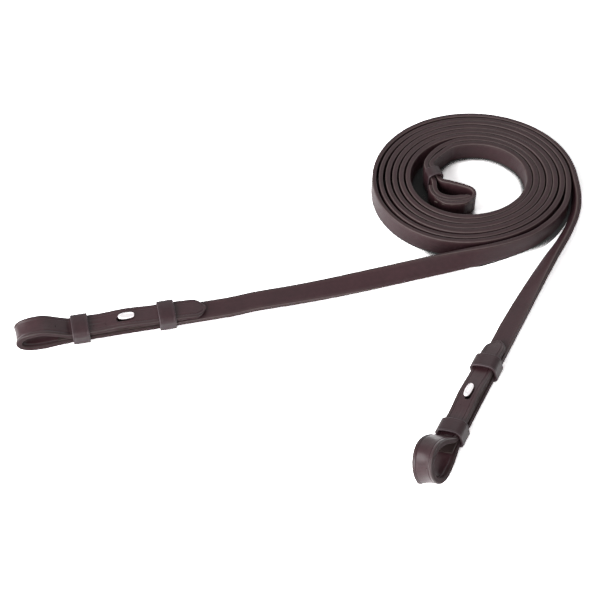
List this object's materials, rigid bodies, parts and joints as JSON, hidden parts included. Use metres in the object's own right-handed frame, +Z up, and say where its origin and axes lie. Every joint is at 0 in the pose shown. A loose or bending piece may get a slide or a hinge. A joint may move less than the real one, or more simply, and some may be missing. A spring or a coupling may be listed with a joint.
{
  "type": "leather reins",
  "caption": "Pair of plain leather reins coiled on edge, each bit end folded into a loop whose tongue hooks on a metal stud under running keepers.",
  "frame": {"origin": "under the middle of the part's box, on the surface that it lies on", "axes": "+Z up; +X towards the coil, away from the left bit loop; +Y away from the right bit loop"},
  "size_m": [0.3554, 0.306, 0.0299],
  "materials": {
    "rein_leather": "dark brown bridle leather, waxed, satin",
    "billet_leather": "dark brown bridle leather, waxed, satin, creased",
    "keeper_leather": "dark brown bridle leather, waxed, satin",
    "lining_leather": "dark brown leather, matt flesh side",
    "bright_steel": "polished",
    "thread": "waxed brown thread"
  },
  "bodies": {
    "reins": {"left_rein_coil": "rein_leather", "left_rein_run": "rein_leather", "left_billet": "billet_leather", "left_stud_lining": "lining_leather", "left_lining_stitches": "thread", "left_hook_stud": "bright_steel", "right_rein_coil": "rein_leather", "right_rein_run": "rein_leather", "right_billet": "billet_leather", "right_stud_lining": "lining_leather", "right_lining_stitches": "thread", "right_hook_stud": "bright_steel", "left_centre_run": "rein_leather", "right_centre_run": "rein_leather", "join_cover": "rein_leather", "join_stitches": "thread"},
    "centre_keeper": {"centre_keeper": "keeper_leather"},
    "left_bit_keeper": {"left_bit_keeper": "keeper_leather"},
    "left_tip_keeper": {"left_tip_keeper": "keeper_leather"},
    "right_bit_keeper": {"right_bit_keeper": "keeper_leather"},
    "right_tip_keeper": {"right_tip_keeper": "keeper_leather"}
  },
  "joints": [
    {"name": "left_bit_keeper_slide", "type": "slide", "parent": "reins", "child": "left_bit_keeper", "axis": [-0.9778, -0.2096, 0], "range_m": [-0.0098, 0.001]},
    {"name": "left_tip_keeper_slide", "type": "slide", "parent": "reins", "child": "left_tip_keeper", "axis": [-0.9778, -0.2096, 0], "range_m": [-0.016, 0.0059]},
    {"name": "right_bit_keeper_slide", "type": "slide", "parent": "reins", "child": "right_bit_keeper", "axis": [-0.4415, -0.8973, 0], "range_m": [-0.0098, 0.001]},
    {"name": "right_tip_keeper_slide", "type": "slide", "parent": "reins", "child": "right_tip_keeper", "axis": [-0.4415, -0.8973, 0], "range_m": [-0.016, 0.0059]},
    {"name": "centre_keeper_slide", "type": "slide", "parent": "reins", "child": "centre_keeper", "axis": [-0.309, 0.9511, 0], "range_m": [-0.001, 0.001]}
  ]
}
